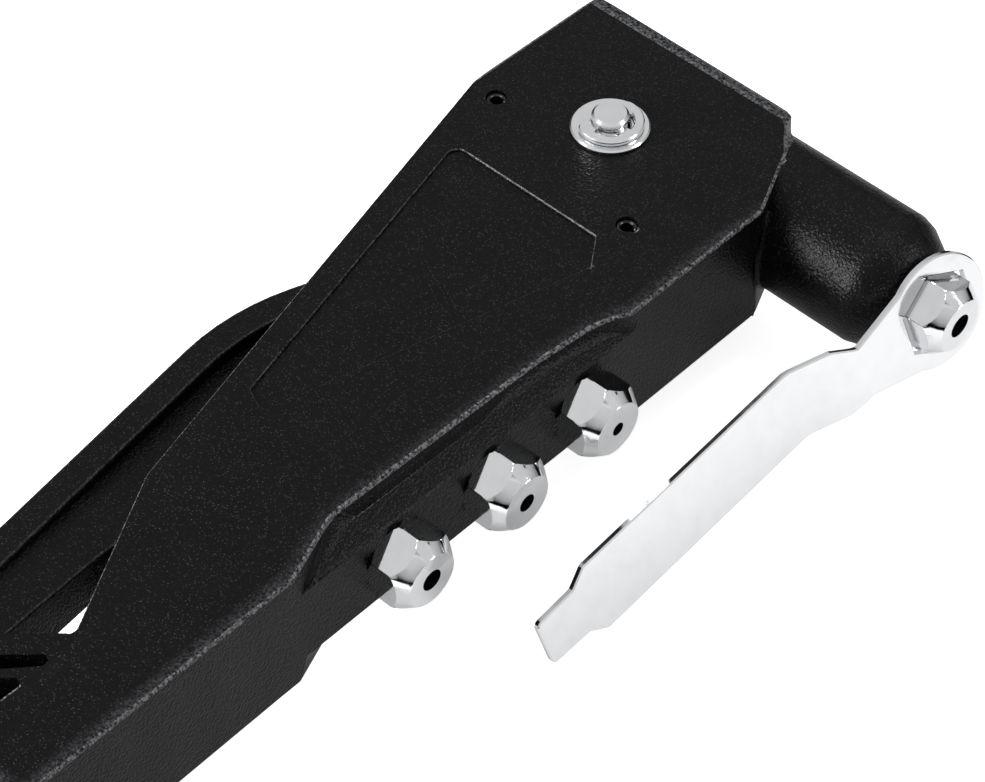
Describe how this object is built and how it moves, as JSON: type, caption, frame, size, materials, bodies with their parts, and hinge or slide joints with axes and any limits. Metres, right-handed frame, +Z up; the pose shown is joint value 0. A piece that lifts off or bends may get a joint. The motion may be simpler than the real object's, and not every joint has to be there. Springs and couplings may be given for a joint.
{
  "type": "hand riveter",
  "caption": "Hand riveter with a cast body, a pivoting lever, spare nosepieces stored in its front edge and a flat nosepiece wrench.",
  "frame": {"origin": "centre of the mouth of the fitted nosepiece, on the nose axis", "axes": "+X along the nose axis out of the nosepiece, +Y towards the top of the head and away from the handles, +Z up through the thickness; the tool lies on its side"},
  "size_m": [0.0716, 0.2808, 0.0286],
  "materials": {
    "black_coat": "wrinkle black powder coat on a casting",
    "bright_zinc": "bright nickel and zinc plate",
    "hard_steel": "ground hardened steel",
    "soft_grip": "moulded matt black grip"
  },
  "bodies": {
    "frame": {"body_casting": "black_coat", "fixed_grip": "soft_grip", "pivot_pin": "bright_zinc", "pivot_washer": "bright_zinc", "pivot_clip": "hard_steel", "front_spring_pin": "hard_steel", "rear_spring_pin": "hard_steel", "nose_bush": "hard_steel", "rear_plug": "hard_steel"},
    "lever": {"lever": "black_coat", "lever_grip": "soft_grip"},
    "jaw_carriage": {"jaw_case": "hard_steel", "jaw_stem": "hard_steel", "jaw_upper": "hard_steel", "jaw_lower": "hard_steel", "jaw_pusher": "hard_steel", "jaw_spring": "hard_steel"},
    "nosepiece": {"nosepiece_4_8": "bright_zinc"},
    "wrench": {"nosepiece_wrench": "bright_zinc"},
    "spare_2_4": {"spare_nosepiece_2_4": "bright_zinc"},
    "spare_3_2": {"spare_nosepiece_3_2": "bright_zinc"},
    "spare_4_0": {"spare_nosepiece_4_0": "bright_zinc"},
    "latch": {"handle_latch": "bright_zinc"}
  },
  "joints": [
    {"name": "lever_pivot", "type": "hinge", "parent": "frame", "child": "lever", "pos_m": [-0.0505, -0.0113, 0], "axis": [0, 0, -1], "range_deg": [0, 32]},
    {"name": "jaw_slide", "type": "slide", "parent": "frame", "child": "jaw_carriage", "axis": [1, 0, 0], "range_m": [0, 0.0065]},
    {"name": "nosepiece_turn", "type": "hinge", "parent": "frame", "child": "nosepiece", "pos_m": [-0.003, 0, 0], "axis": [1, 0, 0], "continuous": true},
    {"name": "wrench_slide", "type": "slide", "parent": "nosepiece", "child": "wrench", "axis": [1, 0, 0], "range_m": [0, 0.012]},
    {"name": "spare_2_4_turn", "type": "hinge", "parent": "frame", "child": "spare_2_4", "pos_m": [-0.02518, -0.0435, 0], "axis": [0.9998, 0.0192, 0], "continuous": true},
    {"name": "spare_3_2_turn", "type": "hinge", "parent": "frame", "child": "spare_3_2", "pos_m": [-0.02486, -0.0601, 0], "axis": [0.9998, 0.0192, 0], "continuous": true},
    {"name": "spare_4_0_turn", "type": "hinge", "parent": "frame", "child": "spare_4_0", "pos_m": [-0.02454, -0.0767, 0], "axis": [0.9998, 0.0192, 0], "continuous": true},
    {"name": "latch_swing", "type": "hinge", "parent": "frame", "child": "latch", "pos_m": [-0.0335, -0.2383, 0], "axis": [0, 0, -1], "range_deg": [0, 88]}
  ],
  "couplings": [
    {"joint": "jaw_slide", "follows": "lever_pivot", "m_per_rad": 0.011603}
  ]
}
